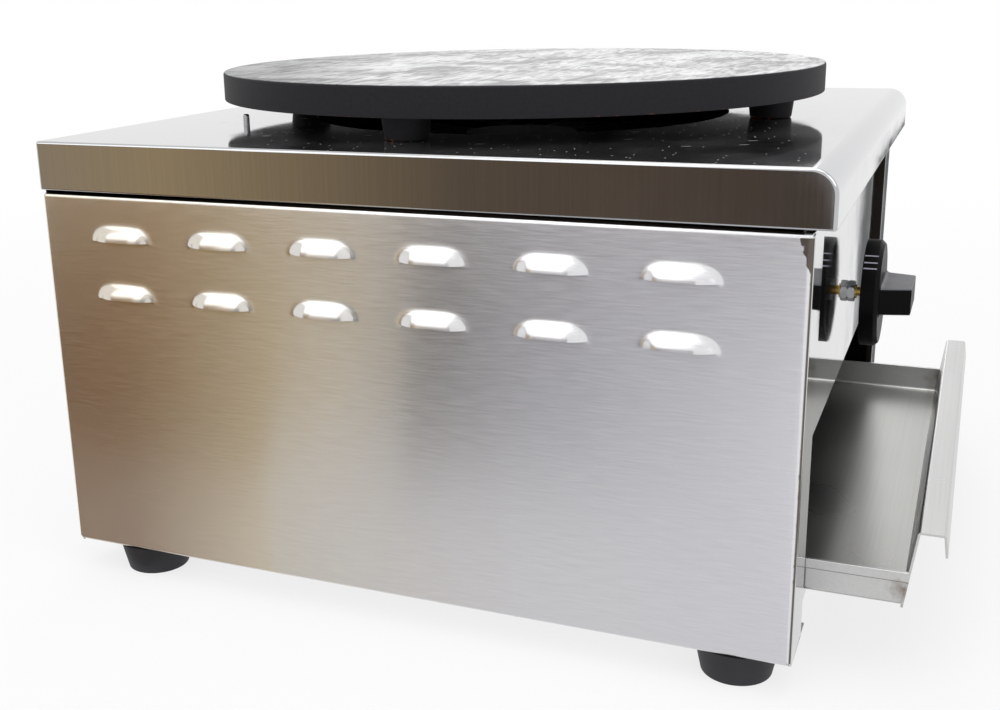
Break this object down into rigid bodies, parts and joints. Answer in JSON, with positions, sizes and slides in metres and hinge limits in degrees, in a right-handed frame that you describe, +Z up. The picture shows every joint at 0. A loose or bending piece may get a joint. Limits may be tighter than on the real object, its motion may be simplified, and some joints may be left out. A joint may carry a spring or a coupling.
{
  "type": "gas crepe maker",
  "caption": "Countertop gas crepe maker: round cast griddle plate over a star burner in a louvred stainless cabinet with a storage drawer.",
  "frame": {"origin": "on the worktop, under the middle of the cabinet", "axes": "+Z up, -Y towards the front with the knob and the drawer, +X to the right seen from the front"},
  "size_m": [0.4658, 0.5798, 0.308],
  "materials": {
    "polished_steel": "polished stainless sheet",
    "brushed_steel": "brushed stainless sheet",
    "tray_steel": "satin stainless sheet, stained by heat at the welds",
    "zinc_steel": "zinc-plated steel",
    "cast_iron": "machined and seasoned cast iron",
    "burner_iron": "raw cast iron",
    "brass": "turned brass",
    "knob_plastic": "semi-gloss moulded plastic",
    "foot_rubber": "moulded rubber",
    "seal_rubber": "fibre washer"
  },
  "bodies": {
    "cabinet": {"top_cover": "polished_steel", "left_side_panel": "brushed_steel", "right_side_panel": "brushed_steel", "front_panel": "polished_steel", "back_panel": "brushed_steel", "bottom_panel": "brushed_steel", "left_drawer_rail": "zinc_steel", "right_drawer_rail": "zinc_steel", "deck_studs": "zinc_steel", "burner_head": "burner_iron", "mixing_tube": "burner_iron", "injector": "brass", "valve_body": "brass", "panel_nut": "zinc_steel", "pipe_nut": "brass", "supply_pipe": "brass", "inlet_nipple": "brass", "inlet_seal": "seal_rubber", "inlet_locknut": "brass", "front_bridge": "zinc_steel", "rear_bridge": "zinc_steel", "bridge_screws": "zinc_steel", "bridge_nuts": "zinc_steel", "front_left_foot": "foot_rubber", "front_right_foot": "foot_rubber", "rear_left_foot": "foot_rubber", "rear_right_foot": "foot_rubber", "foot_screws": "zinc_steel", "foot_washers": "zinc_steel", "foot_nuts": "zinc_steel", "cover_screws": "zinc_steel", "panel_screws": "zinc_steel"},
    "drawer": {"drawer_tray": "tray_steel", "drawer_front": "tray_steel"},
    "plate": {"griddle_plate": "cast_iron"},
    "plug": {"valve_plug": "brass", "valve_spring": "zinc_steel"},
    "knob": {"control_knob": "knob_plastic", "valve_spindle": "brass"},
    "shutter": {"air_shutter": "zinc_steel", "shutter_screw": "brass"}
  },
  "joints": [
    {"name": "drawer_slide", "type": "slide", "parent": "cabinet", "child": "drawer", "axis": [0, -1, 0], "range_m": [-0.05, 0.25]},
    {"name": "plate_lift", "type": "slide", "parent": "cabinet", "child": "plate", "axis": [0, 0, 1], "range_m": [0, 0.1]},
    {"name": "knob_turn", "type": "hinge", "parent": "cabinet", "child": "plug", "pos_m": [0, -0.19, 0.165], "axis": [0, -1, 0], "range_deg": [0, 180]},
    {"name": "knob_push", "type": "slide", "parent": "plug", "child": "knob", "axis": [0, 1, 0], "range_m": [0, 0.004], "stiffness_N_per_m": 600, "springref_m": -0.003, "deforming": ["valve_spring"]},
    {"name": "air_shutter_turn", "type": "hinge", "parent": "cabinet", "child": "shutter", "pos_m": [0, -0.143, 0.165], "axis": [0, 1, 0], "range_deg": [0, 70]}
  ]
}
